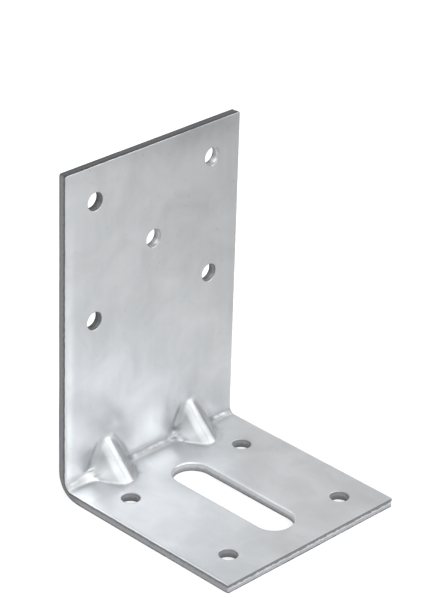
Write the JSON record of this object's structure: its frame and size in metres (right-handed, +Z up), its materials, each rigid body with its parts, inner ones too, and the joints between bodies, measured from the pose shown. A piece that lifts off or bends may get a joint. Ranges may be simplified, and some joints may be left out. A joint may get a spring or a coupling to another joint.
{
  "type": "corner brace bracket",
  "caption": "Right-angle sheet steel bracket with nail holes in both legs, a long anchor slot in the base and pressed stiffening darts across the fold.",
  "frame": {"origin": "middle of the footprint on the surface that the base leg stands on", "axes": "+X across the width along the fold, -Y from the upright leg towards the free end of the base leg, +Z up along the upright leg"},
  "size_m": [0.06, 0.062, 0.0915],
  "materials": {
    "zinc_coated_steel": "satin zinc coat with soft cloudy variation, and darker sheared edges"
  },
  "bodies": {
    "root": {"bracket": "zinc_coated_steel"}
  },
  "joints": []
}
